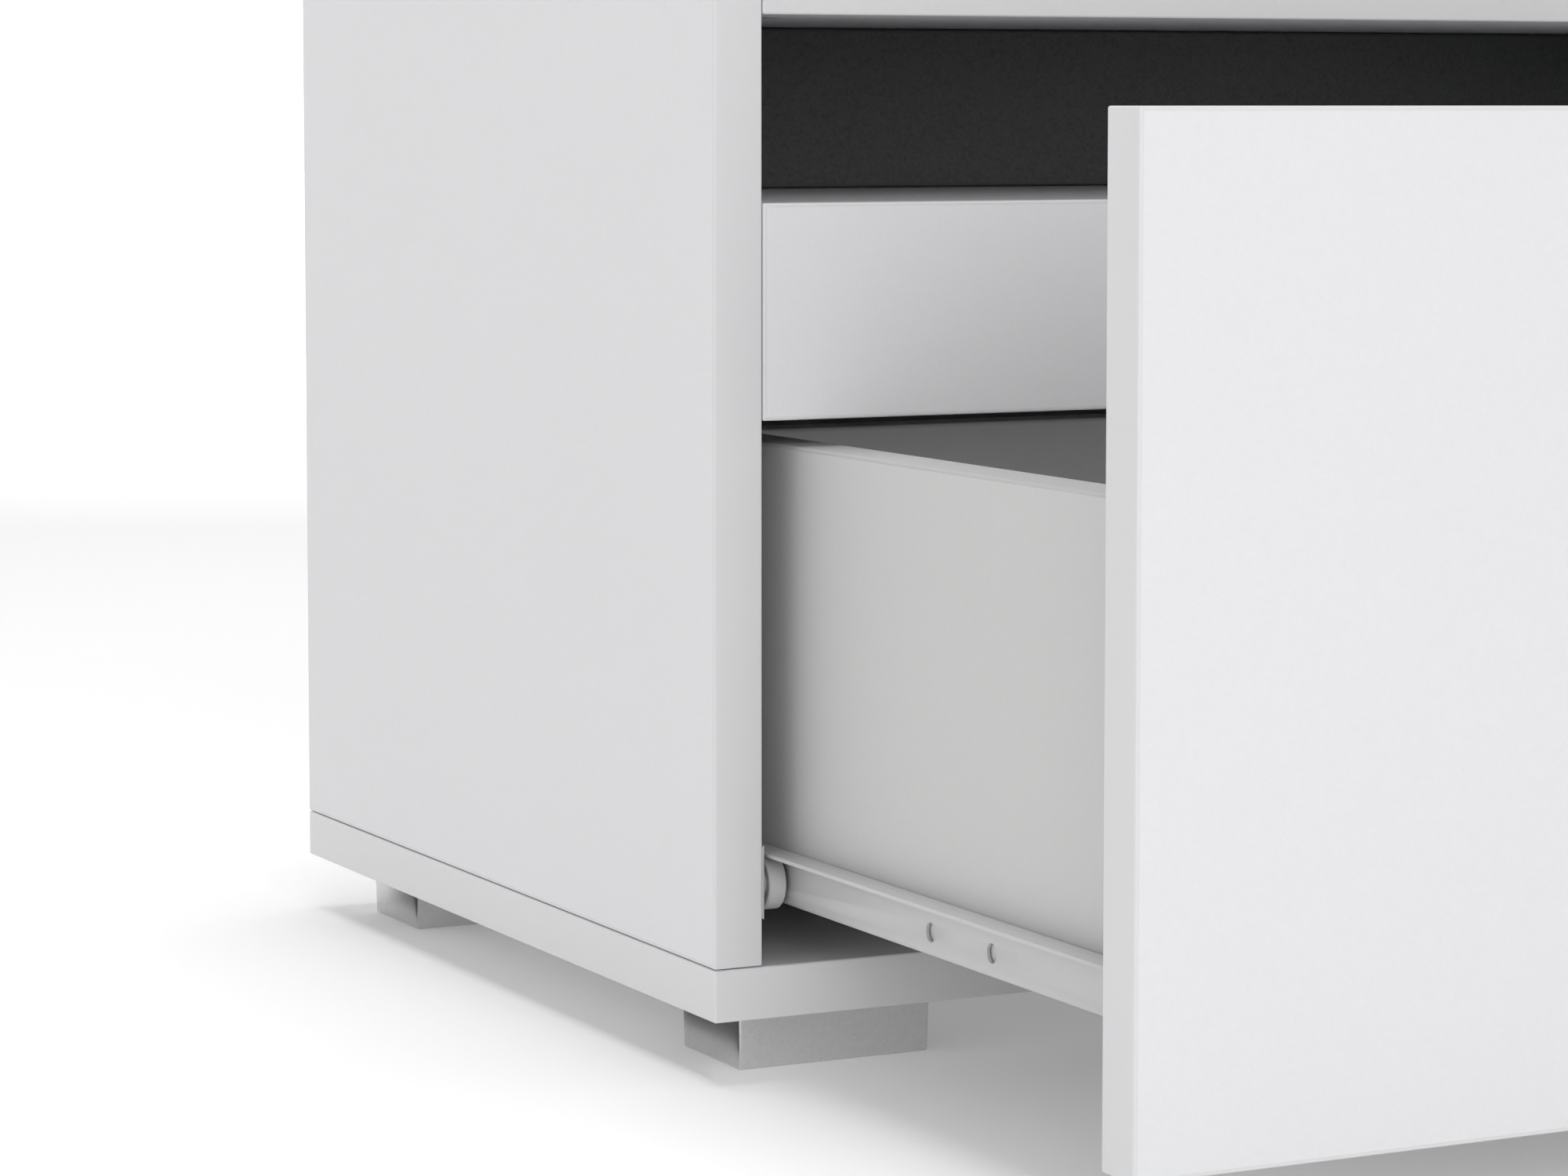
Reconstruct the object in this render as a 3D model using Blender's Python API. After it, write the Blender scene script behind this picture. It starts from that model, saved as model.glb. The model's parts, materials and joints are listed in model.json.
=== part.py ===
"""Under-desk drawer cabinet on four low block feet, with one handleless drawer on roller slides.

The cabinet is a box of coated boards. Its front carries a grip rail with a recess above it, so that a hand
reaches over the top edge of the drawer front. The drawer stands pulled out to the stop of its slides.
X runs along the front, Y to the back and Z up. The origin is on the floor, in the middle of the object's
box.
"""

import math

import bmesh
import bpy
from mathutils import Euler, Matrix, Vector

# Cabinet, in metres.
WIDTH = 0.500
DEPTH = 0.345
CLEAR_HEIGHT = 0.286
BOARD = 0.016
REAR_PANEL = 0.003
REAR_PANEL_SETBACK = 0.008
GROOVE_DEPTH = 0.006
RECESS_HEIGHT = 0.056
RECESS_DEPTH = 0.205
RECESS_PANEL = 0.012
GRIP_RAIL_HEIGHT = 0.065
FOOT_LENGTH = 0.067
FOOT_WIDTH = 0.041
FOOT_HEIGHT = 0.020
FOOT_SIDE_INSET = 0.0175
FOOT_FRONT_INSET = 0.020
FOOT_DRAFT = 0.0006

# Drawer.
FRONT_BOARD = 0.016
FRONT_REVEAL = 0.0015
FRONT_RISE = 0.003
FINGER_GAP = 0.027
DRAWER_BOARD = 0.016
DRAWER_BOTTOM = 0.003
DRAWER_BOTTOM_RISE = 0.012
DRAWER_BACK_SETBACK = 0.007
DRAWER_TOP_CLEARANCE = 0.0083
DRAWER_REAR_CLEARANCE = 0.014

# Roller slides.
SLIDE_SPACE = 0.0125
RAIL_STEEL = 0.0012
RAIL_SHORTER = 0.020
RAIL_OVERLAP = 0.075
RAIL_FRONT_SETBACK = 0.002
DRAWER_RAIL_HEIGHT = 0.0172
DRAWER_RAIL_SHELF = 0.013
RAIL_HOLE_RADIUS = 0.0028
RAIL_HOLE_PITCHES = (0.103, 0.1387)
ROLLER_RADIUS = 0.0085
ROLLER_WIDTH = 0.0058
ROLLER_CHAMFER = 0.0005
ROLLER_RIM = 0.0018
ROLLER_SUNK = 0.0008
ROLLER_SETBACK = 0.011
ROLLER_AXIS_HEIGHT = 0.0239
PIN_RADIUS = 0.0025
PIN_HEAD_RADIUS = 0.0042
PIN_HEAD = 0.0008
PIN_CLEARANCE = 0.0003
ROLLER_BAY = 0.026

# Fasteners.
CAM_RADIUS = 0.0075
CAM_HEIGHT = 0.0122
CAM_SETBACK = 0.024
CAM_BOLT_RADIUS = 0.003
CAM_BOLT_ANCHOR = 0.009
CAM_END_DISTANCE = 0.055
SCREW_RADIUS = 0.0018
SCREW_HEAD_RADIUS = 0.0038
SCREW_HEAD = 0.0022
SCREW_BITE = 0.011
RAIL_SCREW_DISTANCE = 0.060

# Clearances and edges.
GAP = 0.0003
RUNNING = 0.00008
EDGE = 0.0006
FOOT_EDGE = 0.0016
ROUND_STEPS = 28
SMALL_STEPS = 14

# What follows from the sizes above.
HALF = WIDTH / 2
INNER_HALF = HALF - BOARD
BOX_LENGTH = DEPTH - REAR_PANEL_SETBACK - REAR_PANEL - DRAWER_REAR_CLEARANCE
RAIL_LENGTH = BOX_LENGTH - RAIL_SHORTER
PULL_OUT = RAIL_LENGTH - RAIL_OVERLAP
FRONT_PLANE = (PULL_OUT + FRONT_BOARD - DEPTH) / 2
BACK_PLANE = FRONT_PLANE + DEPTH
FLOOR_TOP = FOOT_HEIGHT + BOARD
CEILING = FLOOR_TOP + CLEAR_HEIGHT
TOP = CEILING + BOARD
LEDGE_TOP = CEILING - RECESS_HEIGHT
GRIP_RAIL_BOTTOM = LEDGE_TOP - GRIP_RAIL_HEIGHT
REAR_FACE = BACK_PLANE - REAR_PANEL_SETBACK
ROLLER_AXIS = FLOOR_TOP + ROLLER_AXIS_HEIGHT
TRACK_TOP = ROLLER_AXIS - ROLLER_RADIUS - GAP
RUNNER_UNDERSIDE = ROLLER_AXIS + ROLLER_RADIUS + GAP
RUNNER_TOP = RUNNER_UNDERSIDE + RAIL_STEEL
RUNNER_BOTTOM = RUNNER_TOP - DRAWER_RAIL_HEIGHT
RUNNER_OUTER = SLIDE_SPACE - GAP - RAIL_STEEL
ROLLER_FACE = RUNNER_OUTER - PIN_CLEARANCE - PIN_HEAD - GAP
BOX_BOTTOM = RUNNER_BOTTOM + RAIL_STEEL + GAP
BOX_TOP = GRIP_RAIL_BOTTOM - DRAWER_TOP_CLEARANCE
BOX_HALF = INNER_HALF - SLIDE_SPACE
DRAWER_PLANE = FRONT_PLANE - PULL_OUT
BOX_FRONT = DRAWER_PLANE + GAP
BOX_REAR = DRAWER_PLANE + BOX_LENGTH
SIDES = {"left": -1, "right": 1}

MATERIALS = {
    "white_board": ((0.80, 0.80, 0.82), 0.45, 0.0),
    "drawer_board": ((0.62, 0.62, 0.61), 0.5, 0.0),
    "anthracite_board": ((0.045, 0.045, 0.048), 0.55, 0.0),
    "white_steel": ((0.72, 0.72, 0.74), 0.35, 0.0),
    "roller_plastic": ((0.66, 0.66, 0.66), 0.4, 0.0),
    "silver_plastic": ((0.45, 0.45, 0.46), 0.35, 0.6),
    "zinc": ((0.6, 0.6, 0.6), 0.3, 1.0),
}


def clear_scene():
    for obj in list(bpy.data.objects):
        bpy.data.objects.remove(obj)


def material(name):
    """The named Principled material, made on first use."""
    found = bpy.data.materials.get(name)
    if found:
        return found
    colour, roughness, metallic = MATERIALS[name]
    made = bpy.data.materials.new(name)
    made.use_nodes = True
    shader = made.node_tree.nodes["Principled BSDF"]
    shader.inputs["Base Color"].default_value = (*colour, 1)
    shader.inputs["Roughness"].default_value = roughness
    shader.inputs["Metallic"].default_value = metallic
    return made


def place_under(made, place, parent):
    """Stands an object at a place in the world, under a parent that is nowhere turned or scaled."""
    made.parent = parent
    made.location = Vector(place)
    while parent:
        made.location -= parent.location
        parent = parent.parent


def empty(name, place, parent=None):
    """A parent that carries one moving group, at its joint."""
    made = bpy.data.objects.new(name, None)
    bpy.context.scene.collection.objects.link(made)
    place_under(made, place, parent)
    return made


def solid(name, bm, place, finish=None, parent=None):
    """An object from a bmesh built round its own origin, stood at a place in the world."""
    bmesh.ops.recalc_face_normals(bm, faces=bm.faces)
    mesh = bpy.data.meshes.new(name)
    bm.to_mesh(mesh)
    bm.free()
    made = bpy.data.objects.new(name, mesh)
    bpy.context.scene.collection.objects.link(made)
    place_under(made, place, parent)
    if finish:
        mesh.materials.append(material(finish))
    return made


def hide(cutter):
    cutter.hide_render = True
    cutter.display_type = "WIRE"
    return cutter


def cut(piece, cutter):
    """Takes a hidden cutter's shape out of a piece."""
    modifier = piece.modifiers.new("cut_" + cutter.name, "BOOLEAN")
    modifier.operation = "DIFFERENCE"
    modifier.object = hide(cutter)


def round_edges(piece, width, segments=1):
    modifier = piece.modifiers.new("edges", "BEVEL")
    modifier.width = width
    modifier.segments = segments
    modifier.limit_method = "ANGLE"
    modifier.angle_limit = math.radians(40)


def block_mesh(low, high, origin):
    """A bmesh box between two world corners, around an origin."""
    bm = bmesh.new()
    size = [b - a for a, b in zip(low, high)]
    middle = [(a + b) / 2 - o for a, b, o in zip(low, high, origin)]
    bmesh.ops.create_cube(bm, size=1, matrix=Matrix.Translation(middle) @ Matrix.Diagonal((*size, 1)))
    return bm


def block(name, low, high, finish=None, parent=None, edge=0.0):
    """A board or other box between two world corners, with its origin at its middle."""
    middle = [(a + b) / 2 for a, b in zip(low, high)]
    made = solid(name, block_mesh(low, high, middle), middle, finish, parent)
    if edge:
        round_edges(made, edge)
    return made


def mirrored(side, inner, outer):
    """The low and high X of a stretch given for the right-hand side of the cabinet."""
    return sorted((side * inner, side * outer))


def turned(name, outline, place, turn, finish=None, parent=None, steps=ROUND_STEPS):
    """A solid of revolution. The outline is a closed ring of (distance along the axis, radius), spun round
    local X; turn then swings that axis. A ring that touches the axis is closed there."""
    bm = bmesh.new()
    verts = [bm.verts.new((along, 0, radius)) for along, radius in outline]
    edges = [bm.edges.new((a, b)) for a, b in zip(verts, verts[1:] + verts[:1])
             if a.co.z > 0 or b.co.z > 0]
    bmesh.ops.spin(bm, geom=verts + edges, cent=(0, 0, 0), axis=(1, 0, 0), angle=2 * math.pi,
                   steps=steps, use_merge=True, use_duplicate=False)
    bmesh.ops.remove_doubles(bm, verts=bm.verts, dist=1e-6)
    made = solid(name, bm, place, finish, parent)
    made.rotation_euler = turn
    made.data.shade_smooth()
    made.data.set_sharp_from_angle(angle=math.radians(35))
    return made


ALONG_X = (0, 0, 0)
AGAINST_X = (0, 0, math.pi)
AGAINST_Y = (0, 0, -math.pi / 2)
UP = (0, -math.pi / 2, 0)


def outwards(side):
    """The turn that points a piece's axis away from the cabinet's middle."""
    return ALONG_X if side > 0 else AGAINST_X


def inwards(side):
    """The turn that points a piece's axis towards the cabinet's middle."""
    return outwards(-side)


def bore(name, place, turn, radius, length, parent=None, steps=SMALL_STEPS):
    """A hidden cylinder that starts at a place and runs along its turned axis."""
    outline = [(0, 0), (0, radius), (length, radius), (length, 0)]
    return hide(turned(name, outline, place, turn, parent=parent, steps=steps))


def profile_bar(name, outline, side, y_from, y_to, finish, parent=None):
    """A bar of one section along Y. The outline's points are (distance from the side panel, height), and the
    bar stands on the left or right side panel's inner face."""
    origin = Vector((side * INNER_HALF, y_from, ROLLER_AXIS))
    bm = bmesh.new()
    verts = [bm.verts.new((-side * across, 0, height - ROLLER_AXIS)) for across, height in outline]
    face = bm.faces.new(verts)
    moved = bmesh.ops.extrude_face_region(bm, geom=[face])
    bmesh.ops.translate(bm, vec=(0, y_to - y_from, 0),
                        verts=[v for v in moved["geom"] if isinstance(v, bmesh.types.BMVert)])
    return solid(name, bm, origin, finish, parent)


# Cabinet boards.


def side_panel(word, side):
    x_low, x_high = mirrored(side, INNER_HALF, HALF)
    panel = block("side_panel_" + word, (x_low, FRONT_PLANE, FLOOR_TOP + GAP), (x_high, BACK_PLANE, TOP),
                  "white_board", edge=EDGE)
    x_low, x_high = mirrored(side, INNER_HALF - BOARD, INNER_HALF + GROOVE_DEPTH + GAP)
    cut(panel, block("side_groove_" + word, (x_low, REAR_FACE - REAR_PANEL - GAP, FOOT_HEIGHT),
                     (x_high, REAR_FACE + GAP, TOP - BOARD + GROOVE_DEPTH + GAP)))
    return panel


def bottom_panel():
    panel = block("bottom_panel", (-HALF, FRONT_PLANE, FOOT_HEIGHT), (HALF, BACK_PLANE, FLOOR_TOP),
                  "white_board", edge=EDGE)
    cut(panel, block("bottom_groove",
                     (-INNER_HALF - GROOVE_DEPTH - GAP, REAR_FACE - REAR_PANEL - GAP,
                      FLOOR_TOP - GROOVE_DEPTH - GAP),
                     (INNER_HALF + GROOVE_DEPTH + GAP, REAR_FACE + GAP, TOP)))
    return panel


def top_panel():
    reach = INNER_HALF - GAP
    panel = block("top_panel", (-reach, FRONT_PLANE, CEILING), (reach, BACK_PLANE, TOP), "white_board",
                  edge=EDGE)
    cut(panel, block("top_groove", (-WIDTH, REAR_FACE - REAR_PANEL - GAP, FLOOR_TOP),
                     (WIDTH, REAR_FACE + GAP, CEILING + GROOVE_DEPTH + GAP)))
    return panel


def rear_panel():
    reach = INNER_HALF + GROOVE_DEPTH
    block("rear_panel", (-reach, REAR_FACE - REAR_PANEL, FLOOR_TOP - GROOVE_DEPTH),
          (reach, REAR_FACE, CEILING + GROOVE_DEPTH), "white_board")


def grip_recess():
    """The upright grip rail, the ledge behind it and the dark panel that closes the recess."""
    reach = INNER_HALF - GAP
    block("grip_rail", (-reach, FRONT_PLANE, GRIP_RAIL_BOTTOM), (reach, FRONT_PLANE + BOARD, LEDGE_TOP),
          "white_board", edge=EDGE)
    panel_front = FRONT_PLANE + RECESS_DEPTH
    block("grip_ledge", (-reach, FRONT_PLANE + BOARD + GAP, LEDGE_TOP - BOARD),
          (reach, panel_front + RECESS_PANEL, LEDGE_TOP), "white_board", edge=EDGE)
    block("recess_panel", (-reach, panel_front, LEDGE_TOP + GAP),
          (reach, panel_front + RECESS_PANEL, CEILING - GAP), "anthracite_board", edge=EDGE)


def screw(name, place, turn, shank, parent=None):
    """A countersunk screw. Its head's outer face is at the place, and its shank runs along the turned axis
    and ends in a point."""
    outline = [(0, 0), (0, SCREW_HEAD_RADIUS), (SCREW_HEAD, SCREW_RADIUS),
               (shank - SCREW_HEAD, SCREW_RADIUS), (shank, 0)]
    return turned(name, outline, place, turn, "zinc", parent, SMALL_STEPS)


def screw_bore(name, place, turn, shank, parent=None):
    """A hidden cutter that leaves the gap round one screw, and runs out past its head."""
    head, thread = SCREW_HEAD_RADIUS + GAP, SCREW_RADIUS + GAP
    outline = [(-SCREW_HEAD_RADIUS, 0), (-SCREW_HEAD_RADIUS, head), (0, head), (SCREW_HEAD, thread),
               (shank + GAP, thread), (shank + GAP, 0)]
    return hide(turned(name, outline, place, turn, parent=parent, steps=SMALL_STEPS))


def foot(word, x_side, y_low, panel):
    """A drafted block foot, narrower at its sole, held by one screw from below."""
    x_low, x_high = mirrored(x_side, HALF - FOOT_SIDE_INSET - FOOT_LENGTH, HALF - FOOT_SIDE_INSET)
    top = FOOT_HEIGHT - GAP
    middle = ((x_low + x_high) / 2, y_low + FOOT_WIDTH / 2, top / 2)
    bm = block_mesh((x_low, y_low, 0), (x_high, y_low + FOOT_WIDTH, top), middle)
    for vert in bm.verts:
        if vert.co.z < 0:
            vert.co.x -= math.copysign(FOOT_DRAFT, vert.co.x)
            vert.co.y -= math.copysign(FOOT_DRAFT, vert.co.y)
    made = solid("foot_" + word, bm, middle, "silver_plastic")
    round_edges(made, FOOT_EDGE, 2)
    head = Vector((middle[0], middle[1], top / 2))
    shank = FOOT_HEIGHT - head.z + SCREW_BITE
    screw("foot_screw_" + word, head, UP, shank)
    cut(made, screw_bore("foot_bore_" + word, head, UP, shank))
    well = bore("foot_well_" + word, (head.x, head.y, -FOOT_HEIGHT), UP, SCREW_HEAD_RADIUS + 2 * GAP,
                FOOT_HEIGHT + head.z)
    cut(made, well)
    cut(panel, screw_bore("foot_hole_" + word, head, UP, shank))


# Cam locks. Each has a drum in one board and a bolt anchored in the other.


def cam_lock(word, drum_place, drum_turn, bolt_start, bolt_turn, drum_board, anchor_board, parent=None):
    """The drum sinks into its board from drum_place; the bolt leaves the drum at bolt_start, towards the
    anchor board, whose face lies CAM_SETBACK from the drum's middle."""
    drum = [(0, 0), (0, CAM_RADIUS), (CAM_HEIGHT, CAM_RADIUS), (CAM_HEIGHT, 0)]
    turned("cam_drum_" + word, drum, drum_place, drum_turn, "zinc", parent)
    bolt_length = CAM_SETBACK - CAM_RADIUS - GAP + CAM_BOLT_ANCHOR
    bolt = [(0, 0), (0, CAM_BOLT_RADIUS), (bolt_length, CAM_BOLT_RADIUS), (bolt_length, 0)]
    turned("cam_bolt_" + word, bolt, bolt_start, bolt_turn, "zinc", parent, SMALL_STEPS)
    outside = Vector(drum_place) - GAP * direction(drum_turn)
    cut(drum_board, bore("drum_bore_" + word, outside, drum_turn, CAM_RADIUS + GAP, CAM_HEIGHT + 2 * GAP,
                         parent, ROUND_STEPS))
    inside = Vector(bolt_start) - CAM_RADIUS * direction(bolt_turn)
    for board in (drum_board, anchor_board):
        cut(board, bore("bolt_bore_" + word + "_" + board.name, inside, bolt_turn, CAM_BOLT_RADIUS + GAP,
                        CAM_RADIUS + bolt_length + GAP, parent))


def direction(turn):
    """The unit vector that a turned object's own X axis points along."""
    return Euler(turn).to_matrix() @ Vector((1, 0, 0))


def top_cam_locks(top, side_panels):
    """Four cam locks that hold the top panel between the side panels, drums in its underside."""
    middle = CEILING + BOARD / 2
    for word, side in SIDES.items():
        for place, y in (("front", FRONT_PLANE + CAM_END_DISTANCE), ("rear", REAR_FACE - CAM_END_DISTANCE)):
            drum = Vector((side * (INNER_HALF - CAM_SETBACK), y, CEILING))
            start = Vector((drum.x + side * (CAM_RADIUS + GAP), y, middle))
            cam_lock(word + "_" + place, drum, UP, start, outwards(side), top,
                     side_panels[word])


# Roller slides.


def cabinet_rail(word, side, panel):
    """The fixed channel: a web on the side panel and two flanges that point inwards. The flanges stop short
    of the front, where the roller stands."""
    web, lip = GAP + RAIL_STEEL, RUNNER_OUTER - GAP
    low, high = TRACK_TOP - RAIL_STEEL, RUNNER_TOP + RAIL_STEEL + GAP
    outline = [(GAP, low), (lip, low), (lip, TRACK_TOP), (web, TRACK_TOP), (web, high), (lip, high),
               (lip, high + RAIL_STEEL), (GAP, high + RAIL_STEEL)]
    y_from = FRONT_PLANE + RAIL_FRONT_SETBACK
    rail = profile_bar("cabinet_rail_" + word, outline, side, y_from, y_from + RAIL_LENGTH, "white_steel")
    x_low, x_high = mirrored(side, INNER_HALF - SLIDE_SPACE, INNER_HALF - web)
    cut(rail, block("rail_bay_" + word, (x_low, y_from - BOARD, low - BOARD),
                    (x_high, FRONT_PLANE + ROLLER_BAY, high + BOARD)))
    cut(rail, bore("rail_pin_hole_" + word,
                   (side * (INNER_HALF + BOARD), FRONT_PLANE + ROLLER_SETBACK, ROLLER_AXIS),
                   inwards(side), PIN_RADIUS + RUNNING, 2 * BOARD))
    for place, y in (("front", y_from + RAIL_SCREW_DISTANCE),
                     ("rear", y_from + RAIL_LENGTH - RAIL_SCREW_DISTANCE)):
        name = "cabinet_rail_screw_" + word + "_" + place
        head = Vector((side * (INNER_HALF - web), y, ROLLER_AXIS))
        screw(name, head, outwards(side), SCREW_BITE)
        for piece in (rail, panel):
            cut(piece, screw_bore(name + "_bore_" + piece.name, head, outwards(side), SCREW_BITE))
    return rail


def drawer_rail(word, side, slide):
    """The runner on the drawer side: a flange that rides on the cabinet's roller, a web with two open holes,
    and a shelf under the drawer side."""
    web = RUNNER_OUTER
    inner = SLIDE_SPACE - GAP
    flange = 2 * RAIL_STEEL + GAP
    outline = [(web, RUNNER_BOTTOM), (inner + DRAWER_RAIL_SHELF, RUNNER_BOTTOM),
               (inner + DRAWER_RAIL_SHELF, RUNNER_BOTTOM + RAIL_STEEL),
               (inner, RUNNER_BOTTOM + RAIL_STEEL), (inner, RUNNER_TOP), (flange, RUNNER_TOP),
               (flange, RUNNER_UNDERSIDE), (web, RUNNER_UNDERSIDE)]
    rail = profile_bar("drawer_rail_" + word, outline, side, BOX_FRONT, BOX_FRONT + RAIL_LENGTH,
                       "white_steel", slide)
    behind = side * (INNER_HALF - SLIDE_SPACE)
    holes = [(distance, RAIL_HOLE_RADIUS) for distance in RAIL_HOLE_PITCHES]
    holes.append((RAIL_LENGTH - ROLLER_SETBACK, PIN_RADIUS + RUNNING))
    for number, (distance, radius) in enumerate(holes):
        place = (behind, BOX_FRONT + distance, ROLLER_AXIS)
        cut(rail, bore("runner_hole_" + word + "_" + str(number), place, outwards(side), radius,
                       2 * RAIL_STEEL, slide))
    return rail


def roller(name, side, across, y, parent):
    """A plastic wheel on X, with chamfered rims and a ring sunk into each face round the hub."""
    hub = PIN_HEAD_RADIUS + GAP
    rim = ROLLER_RADIUS - ROLLER_RIM
    half = [(0, PIN_RADIUS + RUNNING), (0, hub), (ROLLER_SUNK, hub), (ROLLER_SUNK, rim), (0, rim),
            (0, ROLLER_RADIUS - ROLLER_CHAMFER), (ROLLER_CHAMFER, ROLLER_RADIUS)]
    outline = half + [(ROLLER_WIDTH - along, radius) for along, radius in reversed(half)]
    return turned(name, outline, (side * (INNER_HALF - across), y, ROLLER_AXIS),
                  inwards(side), "roller_plastic", parent)


def cabinet_roller(word, side):
    """The fixed roller at the mouth of the cabinet. Its pin is riveted in the rail's web, and a collar on the
    pin keeps the roller close to the runner."""
    y = FRONT_PLANE + ROLLER_SETBACK
    web = GAP + RAIL_STEEL
    wheel = ROLLER_FACE - ROLLER_WIDTH
    spindle = empty("cabinet_roller_axis_" + word, (side * INNER_HALF, y, ROLLER_AXIS))
    roller("cabinet_roller_" + word, side, wheel, y, spindle)
    collar = wheel - 2 * GAP
    pin = [(0, 0), (0, PIN_RADIUS), (web, PIN_RADIUS), (web, PIN_HEAD_RADIUS), (collar, PIN_HEAD_RADIUS),
           (collar, PIN_RADIUS), (ROLLER_FACE, PIN_RADIUS), (ROLLER_FACE, PIN_HEAD_RADIUS),
           (ROLLER_FACE + PIN_HEAD, PIN_HEAD_RADIUS), (ROLLER_FACE + PIN_HEAD, 0)]
    turned("cabinet_roller_pin_" + word, pin, (side * (INNER_HALF - GAP), y, ROLLER_AXIS),
           inwards(side), "zinc")


def drawer_roller(word, side, slide):
    """The roller at the runner's rear end. It runs on the cabinet rail's lower flange."""
    y = BOX_FRONT + RAIL_LENGTH - ROLLER_SETBACK
    wheel_end = RUNNER_OUTER - GAP
    spindle = empty("drawer_roller_axis_" + word, (side * INNER_HALF, y, ROLLER_AXIS), slide)
    head = wheel_end - ROLLER_WIDTH - GAP
    roller("drawer_roller_" + word, side, head + GAP, y, spindle)
    length = SLIDE_SPACE - GAP - head
    pin = [(0, 0), (0, PIN_RADIUS), (length, PIN_RADIUS), (length, PIN_HEAD_RADIUS),
           (length + PIN_HEAD, PIN_HEAD_RADIUS), (length + PIN_HEAD, 0)]
    turned("drawer_roller_pin_" + word, pin, (side * (INNER_HALF - SLIDE_SPACE + GAP), y, ROLLER_AXIS),
           outwards(side), "zinc", slide)


# Drawer.


def drawer_box(slide):
    """The front, two sides, the back and the bottom sheet that lies in their grooves."""
    front_half = HALF - FRONT_REVEAL
    front = block("drawer_front", (-front_half, DRAWER_PLANE - FRONT_BOARD, FOOT_HEIGHT + FRONT_RISE),
                  (front_half, DRAWER_PLANE, CEILING - FINGER_GAP), "white_board", slide, EDGE)
    sheet_low = BOX_BOTTOM + DRAWER_BOTTOM_RISE
    sheet_high = sheet_low + DRAWER_BOTTOM
    inner = BOX_HALF - DRAWER_BOARD
    back_rear = BOX_REAR - DRAWER_BACK_SETBACK
    back = block("drawer_back", (GAP - inner, back_rear - DRAWER_BOARD, BOX_BOTTOM),
                 (inner - GAP, back_rear, BOX_TOP), "drawer_board", slide, EDGE)
    reach = inner + GROOVE_DEPTH
    rear_reach = back_rear - DRAWER_BOARD + GROOVE_DEPTH
    block("drawer_bottom", (-reach, DRAWER_PLANE - GROOVE_DEPTH, sheet_low), (reach, rear_reach, sheet_high),
          "drawer_board", slide)
    slot_low = (-reach - GAP, DRAWER_PLANE - GROOVE_DEPTH - GAP, sheet_low - GAP)
    slot_high = (reach + GAP, rear_reach + GAP, sheet_high + GAP)
    sides = {}
    for word, side in SIDES.items():
        x_low, x_high = mirrored(side, inner, BOX_HALF)
        sides[word] = block("drawer_side_" + word, (x_low, BOX_FRONT, BOX_BOTTOM),
                            (x_high, BOX_REAR, BOX_TOP), "drawer_board", slide, EDGE)
    for piece in (front, back, *sides.values()):
        cut(piece, block("sheet_groove_" + piece.name, slot_low, slot_high, parent=slide))
    return front, sides


def drawer_cam_locks(front, sides, slide):
    """Two cam locks on each side join the drawer sides to the front, drums in the sides' inner faces."""
    sheet_top = BOX_BOTTOM + DRAWER_BOTTOM_RISE + DRAWER_BOTTOM
    low = sheet_top + 2 * CAM_RADIUS
    high = BOX_TOP - 2 * CAM_RADIUS
    for word, side in SIDES.items():
        for place, z in (("lower", low), ("upper", high)):
            drum = Vector((side * (BOX_HALF - DRAWER_BOARD), BOX_FRONT + CAM_SETBACK, z))
            start = Vector((side * (BOX_HALF - DRAWER_BOARD / 2), drum.y - CAM_RADIUS - GAP, z))
            cam_lock("drawer_" + word + "_" + place, drum, outwards(side), start, AGAINST_Y, sides[word],
                     front, slide)


def drawer_rail_screws(word, side, rail, board, slide):
    """Two screws from below hold the runner's shelf to the drawer side."""
    x = side * (BOX_HALF - DRAWER_RAIL_SHELF / 2)
    for place, y in (("front", BOX_FRONT + RAIL_SCREW_DISTANCE),
                     ("rear", BOX_FRONT + RAIL_LENGTH - RAIL_SCREW_DISTANCE)):
        name = "drawer_rail_screw_" + word + "_" + place
        head = Vector((x, y, RUNNER_BOTTOM - SCREW_HEAD + RAIL_STEEL))
        screw(name, head, UP, SCREW_BITE, slide)
        for piece in (rail, board):
            cut(piece, screw_bore(name + "_bore_" + piece.name, head, UP, SCREW_BITE, slide))


def build():
    clear_scene()
    side_panels = {word: side_panel(word, side) for word, side in SIDES.items()}
    bottom = bottom_panel()
    top = top_panel()
    rear_panel()
    grip_recess()
    for word, side in SIDES.items():
        foot("front_" + word, side, FRONT_PLANE + FOOT_FRONT_INSET, bottom)
        foot("rear_" + word, side, BACK_PLANE - FOOT_FRONT_INSET - FOOT_WIDTH, bottom)
        cabinet_rail(word, side, side_panels[word])
        cabinet_roller(word, side)
    top_cam_locks(top, side_panels)
    slide = empty("drawer_slide", (0, DRAWER_PLANE, BOX_BOTTOM))
    front, sides = drawer_box(slide)
    for word, side in SIDES.items():
        rail = drawer_rail(word, side, slide)
        drawer_rail_screws(word, side, rail, sides[word], slide)
        drawer_roller(word, side, slide)
    drawer_cam_locks(front, sides, slide)


build()
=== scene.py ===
"""Looks of the under-desk drawer cabinet: coated boards with banded edges, a drawer on white steel roller
slides, metallised block feet, and the screws, cam locks and pins that hold it together."""

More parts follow.
